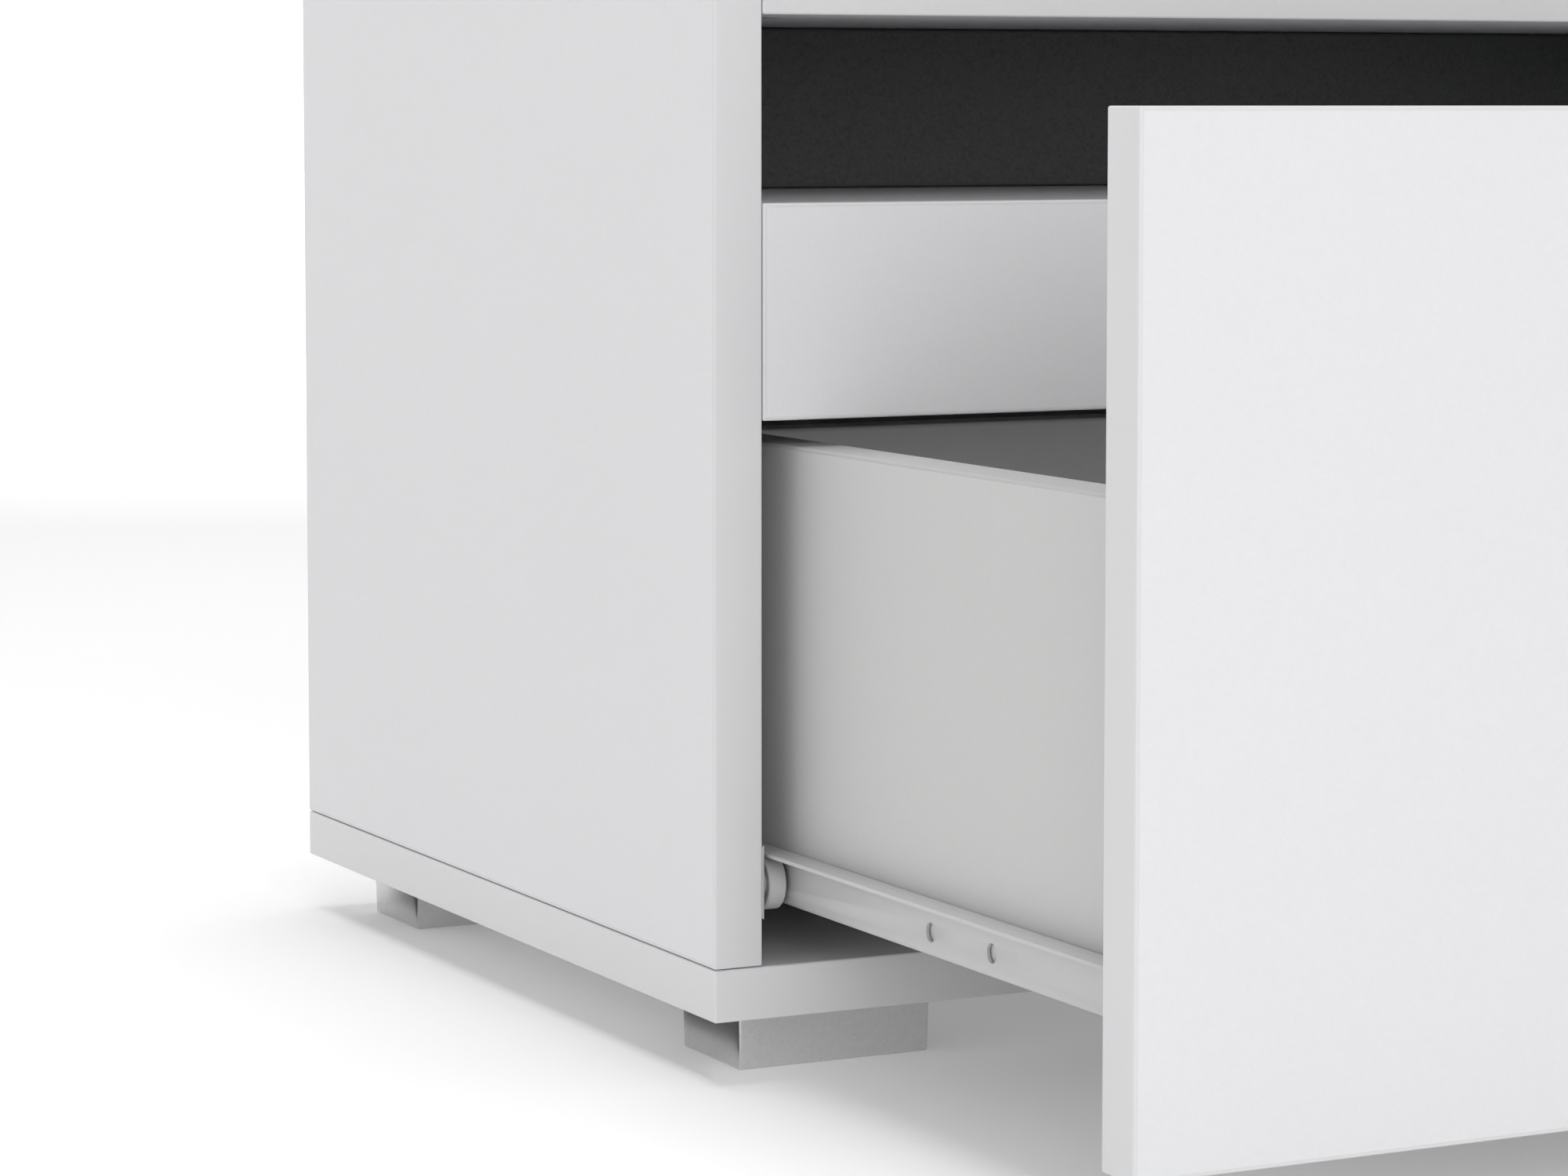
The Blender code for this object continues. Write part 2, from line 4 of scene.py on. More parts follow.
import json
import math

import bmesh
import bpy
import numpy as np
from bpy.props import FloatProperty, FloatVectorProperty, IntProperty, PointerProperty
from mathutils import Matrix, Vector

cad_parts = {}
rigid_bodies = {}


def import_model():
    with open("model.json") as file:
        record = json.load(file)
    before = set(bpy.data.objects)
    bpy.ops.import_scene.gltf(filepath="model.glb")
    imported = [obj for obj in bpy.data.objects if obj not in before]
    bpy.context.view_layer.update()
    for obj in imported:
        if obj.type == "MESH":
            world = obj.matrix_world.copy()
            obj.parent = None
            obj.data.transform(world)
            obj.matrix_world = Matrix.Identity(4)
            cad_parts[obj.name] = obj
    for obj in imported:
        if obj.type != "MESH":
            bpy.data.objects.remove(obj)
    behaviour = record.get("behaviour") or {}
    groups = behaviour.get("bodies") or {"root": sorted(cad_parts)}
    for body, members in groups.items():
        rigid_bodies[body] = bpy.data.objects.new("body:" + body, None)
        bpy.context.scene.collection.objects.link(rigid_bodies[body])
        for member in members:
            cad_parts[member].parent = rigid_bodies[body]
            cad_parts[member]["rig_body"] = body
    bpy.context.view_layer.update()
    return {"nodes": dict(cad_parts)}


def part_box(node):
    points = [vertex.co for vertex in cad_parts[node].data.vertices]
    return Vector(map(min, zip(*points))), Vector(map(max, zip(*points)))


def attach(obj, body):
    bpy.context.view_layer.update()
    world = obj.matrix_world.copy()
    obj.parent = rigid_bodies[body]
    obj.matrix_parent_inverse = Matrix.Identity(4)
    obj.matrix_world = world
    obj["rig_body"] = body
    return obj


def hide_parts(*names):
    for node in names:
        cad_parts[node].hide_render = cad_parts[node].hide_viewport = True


bl_info = {
    "name": "Under-desk Drawer Cabinet",
    "version": (1, 0, 0),
    "blender": (4, 5, 0),
    "location": "3D View > Sidebar > Drawer Cabinet",
    "description": "Builds the finished boards, slides, rollers, feet and fasteners of a drawer cabinet",
    "category": "Object",
}

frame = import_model()

AXES = {"X": 0, "Y": 1, "Z": 2}
SIDES = {"left": -1, "right": 1}
WELD = 1e-7  # points nearer to each other than this are one
FIT = 0.0003  # air round a piece in its groove or bore
RUNNING = 0.00008  # air between a roller's bore and its pin
THIN_EDGE = 0.0002  # rounding of a thin sheet's edges
STEEL_EDGE = 0.00015  # rounding of a rail's cut edges


# Sizes and colours that a user would change.


def length(name, default, description):
    return FloatProperty(name=name, default=default, min=0.0, unit="LENGTH", precision=5,
                         description=description)


def colour(name, default, description):
    return FloatVectorProperty(name=name, default=default, size=3, min=0.0, max=1.0, subtype="COLOR",
                               description=description)


def power(name, default, description):
    return FloatProperty(name=name, default=default, min=0.0, unit="POWER", description=description)


def factor(name, default, description):
    return FloatProperty(name=name, default=default, min=0.0, description=description)


class DRAWER_PG_boards(bpy.types.PropertyGroup):
    edge_radius: length("Edge Radius", 0.0007, "Rounding of every banded edge")
    band: length("Band", 0.0011, "How far the edge band shows on the face of a board")
    joint_width: length("Joint Width", 0.00016, "Width of the glue joint between band and face")
    joint_depth: length("Joint Depth", 0.00006, "Depth of the glue joint between band and face")
    white: colour("White", (0.715, 0.715, 0.728), "Pearl white of the cabinet's faces")
    band_white: colour("Band White", (0.665, 0.665, 0.675), "White of the cabinet's edge bands")
    drawer: colour("Drawer Grey", (0.58, 0.58, 0.577), "Light grey of the drawer box")
    anthracite: colour("Anthracite", (0.070, 0.071, 0.073), "Dark panel at the back of the grip recess")
    core: colour("Core", (0.46, 0.33, 0.20), "Chipboard inside the boards")


class DRAWER_PG_slides(bpy.types.PropertyGroup):
    steel: length("Steel", 0.0012, "Thickness of the rails' steel strip")
    bend: length("Bend", 0.0013, "Bend radius of the rails at the middle of the strip")
    hole_radius: length("Hole Radius", 0.0028, "Radius of the open holes in the drawer's runner")
    first_hole: length("First Hole", 0.103, "From the runner's front end to its first hole")
    second_hole: length("Second Hole", 0.1387, "From the runner's front end to its second hole")
    bay: length("Roller Bay", 0.024, "Length at the front where the fixed rail has no flanges")
    rim: length("Roller Rim", 0.0018, "Thickness of a roller's rim")
    sunk: length("Roller Recess", 0.0012, "Depth of the ring sunk into a roller's faces")
    chamfer: length("Roller Chamfer", 0.0005, "Chamfer along both edges of a roller's tread")
    pin_radius: length("Pin Radius", 0.0025, "Radius of the pins that the rollers turn on")
    pin_head: length("Pin Head", 0.0008, "Height of the domed head of a pin")
    steel_white: colour("Steel White", (0.53, 0.53, 0.538), "Powder coat of the rails")
    roller: colour("Roller", (0.50, 0.50, 0.50), "Plastic of the rollers")


class DRAWER_PG_feet(bpy.types.PropertyGroup):
    corner: length("Corner Radius", 0.0008, "Rounding of a foot's upright corners")
    sole_edge: length("Sole Edge", 0.0010, "Rounding round the sole")
    draft: length("Draft", 0.0006, "How much narrower a foot is at its sole, on each side")
    well_radius: length("Well Radius", 0.0044, "Radius of the screw well in the sole")
    silver: colour("Silver", (0.68, 0.68, 0.685), "Metallised coat of the feet")


class DRAWER_PG_fasteners(bpy.types.PropertyGroup):
    thread: length("Thread", 0.00035, "Height of a screw's thread")
    pitch: length("Pitch", 0.0016, "Rise of a screw's thread in one turn")
    recess: length("Recess", 0.0014, "Depth of the cross recess in a screw's head")
    turns: IntProperty(name="Columns", default=72, min=24, max=256,
                       description="Points round a screw, a pin or a roller")
    zinc: colour("Zinc", (0.62, 0.61, 0.59), "Zinc plating of the screws, pins and cam locks")


class DRAWER_PG_stage(bpy.types.PropertyGroup):
    radius: length("Radius", 6.0, "Radius of the pale floor")
    backdrop: FloatProperty(name="Backdrop", default=0.4631, unit="ROTATION",
                            description="Direction of the glowing backdrop, from +Y towards +X")
    glow: factor("Glow", 0.62, "Brightness of the backdrop behind the cabinet")
    floor_glow: factor("Floor Glow", 0.15, "Brightness that the floor has of its own")
    surround: factor("Surround", 0.32, "Brightness of the white surround overhead")
    left_power: power("Left Light", 4.5, "Power of the soft light on the left")
    front_power: power("Front Light", 29.0, "Power of the soft light in front")
    top_power: power("Top Light", 50.0, "Power of the soft light overhead")


# Surfaces: grids of points, welded into one closed mesh.


def span(node):
    """The low and high corners of a node as arrays."""
    low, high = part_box(node)
    return np.array(low), np.array(high)


def welded_faces(points, quads, quad_finish, rings, ring_finish):
    """Points that coincide become one, and a quad that loses a corner becomes a triangle or goes."""
    _, first, index = np.unique(np.round(points / WELD).astype(np.int64), axis=0, return_index=True,
                                return_inverse=True)
    index = index.reshape(-1)
    quads = index[quads]
    same = quads == np.roll(quads, -1, axis=1)
    lost = same.sum(axis=1)
    whole, three = quads[lost == 0], quads[lost == 1][~same[lost == 1]].reshape(-1, 3)
    closed = [index[ring] for ring in rings]
    closed = [ring[ring != np.roll(ring, 1)] for ring in closed]
    faces = whole.tolist() + three.tolist() + [ring.tolist() for ring in closed]
    finish = np.concatenate([quad_finish[lost == 0], quad_finish[lost == 1], np.array(ring_finish, int)])
    return points[first], faces, finish


def mesh_of(name, sheets, rings=()):
    """A closed mesh from sheets and flat rings. A sheet is a grid of points (rows, columns, 3) whose columns
    run all the way round, with the number of its finish, or one number for each row of faces. A ring is a
    loop of points (columns, 3) that closes a sheet with one flat face, with the number of its finish."""
    points, quads, quad_finish, loops, loop_finish, start = [], [], [], [], [], 0
    for grid, finish in sheets:
        rows, columns = grid.shape[:2]
        index = start + np.arange(rows * columns).reshape(rows, columns)
        ahead = np.roll(index, -1, axis=1)
        quads.append(np.stack([index[:-1], ahead[:-1], ahead[1:], index[1:]], axis=-1).reshape(-1, 4))
        quad_finish.append(np.repeat(np.broadcast_to(finish, rows - 1), columns))
        points.append(grid.reshape(-1, 3))
        start += rows * columns
    for ring, finish in rings:
        loops.append(np.arange(start, start + len(ring)))
        loop_finish.append(finish)
        points.append(ring)
        start += len(ring)
    points, faces, finish = welded_faces(np.concatenate(points), np.concatenate(quads),
                                         np.concatenate(quad_finish), loops, loop_finish)
    mesh = bpy.data.meshes.new(name)
    mesh.from_pydata(points.tolist(), [], faces)
    mesh.polygons.foreach_set("material_index", finish.astype(np.int32))
    turned_out(mesh)
    return mesh


def turned_out(mesh):
    """Turns every face of a closed mesh outwards."""
    bm = bmesh.new()
    bm.from_mesh(mesh)
    bmesh.ops.recalc_face_normals(bm, faces=bm.faces)
    bm.to_mesh(mesh)
    bm.free()
    mesh.update()


def filleted(points, radius, steps=5, closed=False):
    """A flat path with its corners turned into arcs. An arc's ends lie radius / tan(half the corner) from the
    corner, and its centre lies radius / sin(half the corner) along the corner's bisector."""
    points = np.asarray(points, float)
    radius = np.broadcast_to(np.asarray(radius, float), len(points)).copy()
    if not closed:
        radius[[0, -1]] = 0.0
    back = np.roll(points, 1, axis=0) - points
    ahead = np.roll(points, -1, axis=0) - points
    back /= np.linalg.norm(back, axis=1, keepdims=True)
    ahead /= np.linalg.norm(ahead, axis=1, keepdims=True)
    half = np.arccos(np.clip((back * ahead).sum(axis=1), -1, 1)) / 2
    bisector = back + ahead
    bisector /= np.maximum(np.linalg.norm(bisector, axis=1, keepdims=True), 1e-12)
    centre = points + bisector * (radius / np.sin(half))[:, None]
    touch = (radius / np.tan(half))[:, None]
    from_end, to_end = points + back * touch - centre, points + ahead * touch - centre
    begin = np.arctan2(from_end[:, 1], from_end[:, 0])
    sweep = np.arctan2(to_end[:, 1], to_end[:, 0]) - begin
    sweep = (sweep + np.pi) % (2 * np.pi) - np.pi
    angle = begin[:, None] + sweep[:, None] * np.linspace(0, 1, steps + 1)
    arc = np.stack([np.cos(angle), np.sin(angle)], axis=-1) * radius[:, None, None]
    return (centre[:, None, :] + arc).reshape(-1, 2)


def rounded_rectangle(half_a, half_b, radius, inset, steps=6, run=1):
    """Rings round a rectangle with round corners, one for each inset. A corner's centre stays put while its
    radius shrinks by the inset, and past that the corner is sharp. Each straight side has run spans."""
    inset = np.atleast_1d(np.asarray(inset, float))[:, None, None]
    left_over = np.maximum(radius - inset, 0.0)
    quarter = np.arange(4)[:, None]
    angle = quarter * np.pi / 2 + np.linspace(0, np.pi / 2, steps + 1)
    sign_a, sign_b = np.array([1, -1, -1, 1])[:, None], np.array([1, 1, -1, -1])[:, None]
    a = sign_a * (half_a - inset - left_over) + left_over * np.cos(angle)
    b = sign_b * (half_b - inset - left_over) + left_over * np.sin(angle)
    ring = np.stack([a, b], axis=-1)
    share = (np.arange(1, run) / run)[:, None]
    following = np.roll(ring[:, :, :1], -1, axis=1)
    side = ring[:, :, -1:] * (1 - share) + following * share
    return np.concatenate([ring, side], axis=2).reshape(len(inset), -1, 2)


def turned_grid(outline, place, axis, columns, sink=None):
    """A surface of revolution: the outline's (along, radius) rows, each swept round the axis at a place. sink
    maps (along, radius, angle) to a new along and radius, for threads and recesses."""
    axis = Vector(axis).normalized()
    across = axis.orthogonal().normalized()
    upright = axis.cross(across)
    outline = np.asarray(outline, float)
    angle = np.linspace(0, 2 * np.pi, columns, endpoint=False)[None, :]
    along = np.repeat(outline[:, :1], columns, axis=1)
    radius = np.repeat(outline[:, 1:], columns, axis=1)
    if sink:
        along, radius = sink(along, radius, angle)
    frame_rows = np.array([axis, across, upright])
    local = np.stack([along, radius * np.cos(angle), radius * np.sin(angle)], axis=-1)
    return local @ frame_rows + np.array(place)


def block_mesh(low, high, finish):
    """A plain box: a rectangle at its low end and one at its high end, both closed."""
    low, high = np.array(low, float), np.array(high, float)
    middle, half = (low + high) / 2, (high - low) / 2
    ring = rounded_rectangle(half[0], half[1], 0.0, 0.0, steps=1)[0]
    grid = np.zeros((2, len(ring), 3))
    grid[..., :2] = ring + middle[:2]
    grid[:, :, 2] = np.array([low[2], high[2]])[:, None]
    return mesh_of("cutter", [(grid, finish)], [(grid[0], finish), (grid[1], finish)])


# Materials: shared effects as node groups, then one material for each finish.


def group_of(name, inputs, outputs):
    """An empty shader node group with named float inputs and outputs. Returns it with its two end nodes."""
    group = bpy.data.node_groups.new(name, "ShaderNodeTree")
    for word, default in inputs:
        socket = group.interface.new_socket(word, in_out="INPUT", socket_type="NodeSocketFloat")
        socket.default_value = default
    for word in outputs:
        group.interface.new_socket(word, in_out="OUTPUT", socket_type="NodeSocketFloat")
    return group, group.nodes.new("NodeGroupInput"), group.nodes.new("NodeGroupOutput")


def feed(tree, value, socket):
    """Gives an input a number, or another node's output."""
    if isinstance(value, (int, float)):
        socket.default_value = value
    else:
        tree.links.new(value, socket)


def math_node(tree, operation, *values):
    """A Math node whose inputs are sockets or numbers. Returns its output socket."""
    node = tree.nodes.new("ShaderNodeMath")
    node.operation = operation
    for socket, value in zip(node.inputs, values):
        feed(tree, value, socket)
    return node.outputs[0]


def noise_node(tree, vector, scale, detail, roughness=0.5):
    node = tree.nodes.new("ShaderNodeTexNoise")
    node.inputs["Detail"].default_value = detail
    node.inputs["Roughness"].default_value = roughness
    tree.links.new(vector, node.inputs["Vector"])
    feed(tree, scale, node.inputs["Scale"])
    return node.outputs["Fac"]


def object_coordinates(tree):
    return tree.nodes.new("ShaderNodeTexCoord").outputs["Object"]


def grain_group():
    """Fine grain of a pressed or moulded surface: two noises of unlike size, added together. Grains is the
    number of grains in a metre."""
    group, inlet, outlet = group_of("fine_grain", (("Grains", 1500.0), ("Contrast", 1.0)),
                                    ("Height", "Tone"))
    place = object_coordinates(group)
    fine = noise_node(group, place, inlet.outputs["Grains"], 3.0, 0.6)
    coarse = noise_node(group, place, math_node(group, "MULTIPLY", inlet.outputs["Grains"], 0.31), 2.0)
    height = math_node(group, "MULTIPLY_ADD", coarse, 0.4, math_node(group, "MULTIPLY", fine, 0.6))
    centred = math_node(group, "SUBTRACT", height, 0.5)
    tone = math_node(group, "MULTIPLY", centred, inlet.outputs["Contrast"])
    group.links.new(height, outlet.inputs["Height"])
    group.links.new(tone, outlet.inputs["Tone"])
    return group


def pebble_group():
    """Leather grain: rounded cells parted by creases, whose height drifts over the panel."""
    group, inlet, outlet = group_of("pebble_grain", (("Grains", 900.0),), ("Height",))
    place = object_coordinates(group)
    drift = noise_node(group, place, math_node(group, "MULTIPLY", inlet.outputs["Grains"], 0.4), 2.0)
    cells = group.nodes.new("ShaderNodeTexVoronoi")
    cells.feature = "SMOOTH_F1"
    cells.inputs["Smoothness"].default_value = 0.6
    group.links.new(place, cells.inputs["Vector"])
    group.links.new(inlet.outputs["Grains"], cells.inputs["Scale"])
    rounded = math_node(group, "SUBTRACT", 1.0, math_node(group, "POWER", cells.outputs["Distance"], 1.6))
    group.links.new(math_node(group, "MULTIPLY", rounded, math_node(group, "ADD", drift, 0.5)),
                    outlet.inputs["Height"])
    return group


def handling_group():
    """What handling leaves on a smooth surface: broad soft smears, and a few small dull flecks."""
    group, inlet, outlet = group_of("handling", (("Smears", 1.0), ("Flecks", 1.0)), ("Tone", "Dullness"))
    place = object_coordinates(group)
    broad = noise_node(group, place, 6.0, 4.0, 0.55)
    smears = math_node(group, "MULTIPLY", math_node(group, "SUBTRACT", broad, 0.5), inlet.outputs["Smears"])
    spots = noise_node(group, place, 900.0, 1.0)
    rare = math_node(group, "MULTIPLY", math_node(group, "GREATER_THAN", spots, 0.79),
                     inlet.outputs["Flecks"])
    group.links.new(math_node(group, "MULTIPLY_ADD", rare, -0.5, smears), outlet.inputs["Tone"])
    group.links.new(math_node(group, "ADD", math_node(group, "ABSOLUTE", smears), rare),
                    outlet.inputs["Dullness"])
    return group


GROUPS = {"fine_grain": grain_group, "pebble_grain": pebble_group, "handling": handling_group}


def place_group(tree, name, **values):
    """Puts a shared group into a material with its own values, and makes the group on first use."""
    node = tree.nodes.new("ShaderNodeGroup")
    node.node_tree = bpy.data.node_groups.get(name) or GROUPS[name]()
    for word, value in values.items():
        node.inputs[word].default_value = value
    return node


def blank_material(name, roughness, metallic=0.0):
    """A material with a bare Principled shader. Returns it with its tree and its shader."""
    made = bpy.data.materials.new(name + "_finish")
    made.use_nodes = True
    tree = made.node_tree
    shader = tree.nodes["Principled BSDF"]
    shader.inputs["Roughness"].default_value = roughness
    shader.inputs["Metallic"].default_value = metallic
    return made, tree, shader


def tinted(tree, shader, base, tones):
    """Base Color as the base colour lightened and darkened by the sum of the tone sockets."""
    total = tones[0]
    for tone in tones[1:]:
        total = math_node(tree, "ADD", total, tone)
    factor = math_node(tree, "ADD", total, 1.0)
    scale = tree.nodes.new("ShaderNodeVectorMath")
    scale.operation = "SCALE"
    scale.inputs[0].default_value = base
    tree.links.new(factor, scale.inputs["Scale"])
    tree.links.new(scale.outputs["Vector"], shader.inputs["Base Color"])


def bumped(tree, shader, height, strength, distance):
    bump = tree.nodes.new("ShaderNodeBump")
    bump.inputs["Strength"].default_value = strength
    bump.inputs["Distance"].default_value = distance
    tree.links.new(height, bump.inputs["Height"])
    tree.links.new(bump.outputs["Normal"], shader.inputs["Normal"])


def surface(name, base, roughness, grains, contrast, strength, depth, metallic=0.0, smears=0.03, flecks=0.0):
    """A finish with fine grain. Its colour and its roughness follow the grain and the handling. grains counts
    them in a metre, contrast is theirs in colour, and strength and depth are those of their relief."""
    made, tree, shader = blank_material(name, roughness, metallic)
    grain = place_group(tree, "fine_grain", Grains=grains, Contrast=contrast)
    handling = place_group(tree, "handling", Smears=smears, Flecks=flecks)
    tinted(tree, shader, tuple(base), [grain.outputs["Tone"], handling.outputs["Tone"]])
    dull = math_node(tree, "MULTIPLY_ADD", handling.outputs["Dullness"], 0.6, roughness)
    dull = math_node(tree, "MULTIPLY_ADD", grain.outputs["Tone"], -0.3, dull)
    tree.links.new(dull, shader.inputs["Roughness"])
    bumped(tree, shader, grain.outputs["Height"], strength, depth)
    return made, tree, shader


def white_board():
    made, _, shader = surface("white_board", boards().white, roughness=0.42, grains=1900.0, contrast=0.10,
                              strength=0.35, depth=0.00006)
    shader.inputs["Specular IOR Level"].default_value = 0.45
    return made


def white_band():
    return surface("white_band", boards().band_white, roughness=0.36, grains=2600.0, contrast=0.03,
                   strength=0.12, depth=0.00003)[0]


def drawer_board():
    return surface("drawer_board", boards().drawer, roughness=0.5, grains=1500.0, contrast=0.09,
                   strength=0.35, depth=0.00006)[0]


def drawer_band():
    """The edge band of the drawer box, a little darker than its faces."""
    base = [0.88 * value for value in boards().drawer]
    return surface("drawer_band", base, roughness=0.45, grains=2200.0, contrast=0.12, strength=0.2,
                   depth=0.00004, smears=0.06)[0]


def anthracite_board():
    """Dark melamine with a leather grain, whose raised cells shine a little more than its creases. Its colour
    is lighter on the raised cells and darker in the creases, which is painted shade in the creases.
    """
    made, tree, shader = blank_material("anthracite_board", 0.5)
    pebbles = place_group(tree, "pebble_grain", Grains=850.0)
    handling = place_group(tree, "handling", Smears=0.10, Flecks=0.0)
    relief = math_node(tree, "SUBTRACT", pebbles.outputs["Height"], 0.5)
    # the colour follows the relief, darker in the creases: painted shade
    tinted(tree, shader, tuple(boards().anthracite), [math_node(tree, "MULTIPLY", relief, 0.35),
                                                      handling.outputs["Tone"]])
    tree.links.new(math_node(tree, "MULTIPLY_ADD", relief, -0.22, 0.52), shader.inputs["Roughness"])
    bumped(tree, shader, pebbles.outputs["Height"], 0.5, 0.00012)
    return made


def anthracite_band():
    return surface("anthracite_band", boards().anthracite, roughness=0.42, grains=2200.0, contrast=0.1,
                   strength=0.2, depth=0.00003)[0]


def board_core():
    """Chipboard: pale and dark flakes pressed together, seen in grooves and bores."""
    made, tree, shader = blank_material("board_core", 0.85)
    flakes = tree.nodes.new("ShaderNodeTexVoronoi")
    flakes.inputs["Scale"].default_value = 700.0
    tree.links.new(object_coordinates(tree), flakes.inputs["Vector"])
    shade = tree.nodes.new("ShaderNodeSeparateColor")
    tree.links.new(flakes.outputs["Color"], shade.inputs["Color"])
    tone = math_node(tree, "SUBTRACT", shade.outputs["Red"], 0.5)
    grain = place_group(tree, "fine_grain", Grains=2500.0, Contrast=0.5)
    tinted(tree, shader, tuple(boards().core), [tone, grain.outputs["Tone"]])
    bumped(tree, shader, flakes.outputs["Distance"], 0.5, 0.0003)
    return made


def white_steel():
    """Powder coat: a fine orange peel under a satin skin."""
    made, _, shader = surface("white_steel", slides().steel_white, roughness=0.38, grains=1300.0,
                              contrast=0.05, strength=0.3, depth=0.00005, smears=0.05)
    shader.inputs["Coat Weight"].default_value = 0.25
    shader.inputs["Coat Roughness"].default_value = 0.25
    return made


def roller_plastic():
    made, _, shader = surface("roller_plastic", slides().roller, roughness=0.42, grains=2400.0,
                              contrast=0.05, strength=0.15, depth=0.00003, smears=0.08)
    shader.inputs["Subsurface Weight"].default_value = 0.08
    shader.inputs["Subsurface Radius"].default_value = (0.002, 0.002, 0.002)
    return made


def silver_plastic():
    """Metallised plastic: a silver coat with a fine sparkle, and the small dark flecks of its handling."""
    return surface("silver_plastic", feet().silver, roughness=0.3, grains=2200.0, contrast=0.35,
                   strength=0.25, depth=0.00005, metallic=0.9, smears=0.12, flecks=0.8)[0]


def zinc():
    """Bright zinc plating, clouded unevenly."""
    return surface("zinc", fasteners().zinc, roughness=0.3, grains=1200.0, contrast=0.25, strength=0.2,
                   depth=0.00004, metallic=1.0, smears=0.35)[0]


MATERIALS = {made.__name__: made for made in (
    white_board, white_band, drawer_board, drawer_band, anthracite_board, anthracite_band, board_core,
    white_steel, roller_plastic, silver_plastic, zinc)}


def material(name):
    """The named material, made on first use."""
    return bpy.data.materials.get(name + "_finish") or MATERIALS[name]()


# Placing finished pieces.


def settings(name):
    return getattr(bpy.context.scene, name)


def boards():
    return settings("drawer_boards")


def slides():
    return settings("drawer_slides")


def feet():
    return settings("drawer_feet")


def fasteners():
    return settings("drawer_fasteners")


def placed(name, data):
    """A new object in the scene."""
    obj = bpy.data.objects.new(name, data)
    bpy.context.scene.collection.objects.link(obj)
    return obj


def body_of(node):
    return frame["nodes"][node]["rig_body"]


def applied(obj):
    """Makes the modifiers of an object part of its mesh."""
    graph = bpy.context.evaluated_depsgraph_get()
    mesh = bpy.data.meshes.new_from_object(obj.evaluated_get(graph))
    obj.modifiers.clear()
    obj.data = mesh
    return mesh


def cut_from(obj, cutters):
    """Takes closed meshes out of an object. What they bare shows their own finish number."""
    tools = []
    for number, mesh in enumerate(cutters):
        tool = placed("cutter_" + str(number), mesh)
        for slot in obj.data.materials:
            mesh.materials.append(slot)
        modifier = obj.modifiers.new(tool.name, "BOOLEAN")
        modifier.operation = "DIFFERENCE"
        modifier.object = tool
        tools.append(tool)
    applied(obj)
    for tool in tools:
        bpy.data.objects.remove(tool)


def softened(obj, width, angle=50.0):
    """Rounds the sharp edges of cut steel, two steps wide."""
    modifier = obj.modifiers.new("softened", "BEVEL")
    modifier.width = width
    modifier.segments = 2
    modifier.limit_method = "ANGLE"
    modifier.angle_limit = math.radians(angle)
    applied(obj)


def piece(node, mesh, slot, finishes=None, sharp=32.0, cutters=(), soften=0.0):
    """A finished piece that stands for one CAD node and rides on that node's body."""
    for finish in finishes or (slot,):
        mesh.materials.append(material(finish))
    obj = placed(node + "_finished", mesh)
    if cutters:
        cut_from(obj, cutters)
    if soften:
        softened(obj, soften)
    obj.data.shade_smooth()
    obj.data.set_sharp_from_angle(angle=math.radians(sharp))
    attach(obj, body_of(node))
    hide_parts(node)
    return obj


def turned_piece(node, outline, place, axis, slot, sink=None, sharp=32.0):
    """A finished piece that is a surface of revolution."""
    grid = turned_grid(outline, place, axis, fasteners().turns, sink)
    return piece(node, mesh_of(node, [(grid, 0)]), slot, sharp=sharp)


# Boards.


FACE, BAND, CORE = 0, 1, 2


def board_mesh(node, radius, band):
    """A board with round banded edges: a rounded rectangle in the plane of the board, carried along a profile
    that comes in from the face, dips into the glue joint, turns round the edge and goes back the same way on
    the other face. The profile's rows are (inset, height)."""
    sizes = boards()
    low, high = span(node)
    size, middle = high - low, (low + high) / 2
    thick = int(np.argmin(size))
    flat = [axis for axis in range(3) if axis != thick]
    half = size[thick] / 2
    wide, deep = sizes.joint_width / 2, sizes.joint_depth
    turn = np.linspace(np.pi / 2, 0, 6)
    arc = np.stack([radius * (1 - np.cos(turn)), half - radius * (1 - np.sin(turn))], axis=1)
    joint = [(band + wide, half), (band, half - deep), (band - wide, half)]
    upper = np.concatenate([np.array(joint), arc]) if band else arc
    profile = np.concatenate([upper, upper[::-1] * (1, -1)])
    rings = rounded_rectangle(size[flat[0]] / 2, size[flat[1]] / 2, radius, profile[:, 0])
    grid = np.zeros((len(profile), rings.shape[1], 3))
    grid[..., flat[0]] = rings[..., 0] + middle[flat[0]]
    grid[..., flat[1]] = rings[..., 1] + middle[flat[1]]
    grid[..., thick] = profile[:, None, 1] + middle[thick]
    return mesh_of(node, [(grid, BAND)], [(grid[0], FACE), (grid[-1], FACE)])


def groove_for(node):
    """The space that a thin panel needs in the boards round it."""
    low, high = span(node)
    return block_mesh(low - FIT, high + FIT, CORE)


def drum_bore(node, axis, sign):
    """The bore round a cam drum, open at the face where the drum shows."""
    low, high = span(node)
    middle = (low + high) / 2
    radius = (high - low).max() / 2 + FIT
    reach = (high - low)[axis] / 2
    place, along = middle.copy(), np.zeros(3)
    place[axis] -= sign * (reach + FIT)
    along[axis] = sign
    outline = [(0, 0), (0, radius), (2 * (reach + FIT), radius), (2 * (reach + FIT), 0)]
    return mesh_of("bore", [(turned_grid(outline, place, along, 48), CORE)])


def board(node, look, cutters=(), radius=None, band=None):
    """A coated board. look is white, drawer or anthracite."""
    sizes = boards()
    radius = sizes.edge_radius if radius is None else radius
    band = sizes.band if band is None else band
    edge = look + "_band" if band else "board_core"
    return piece(node, board_mesh(node, radius, band), look + "_board",
                 (look + "_board", edge, "board_core"), cutters=cutters)


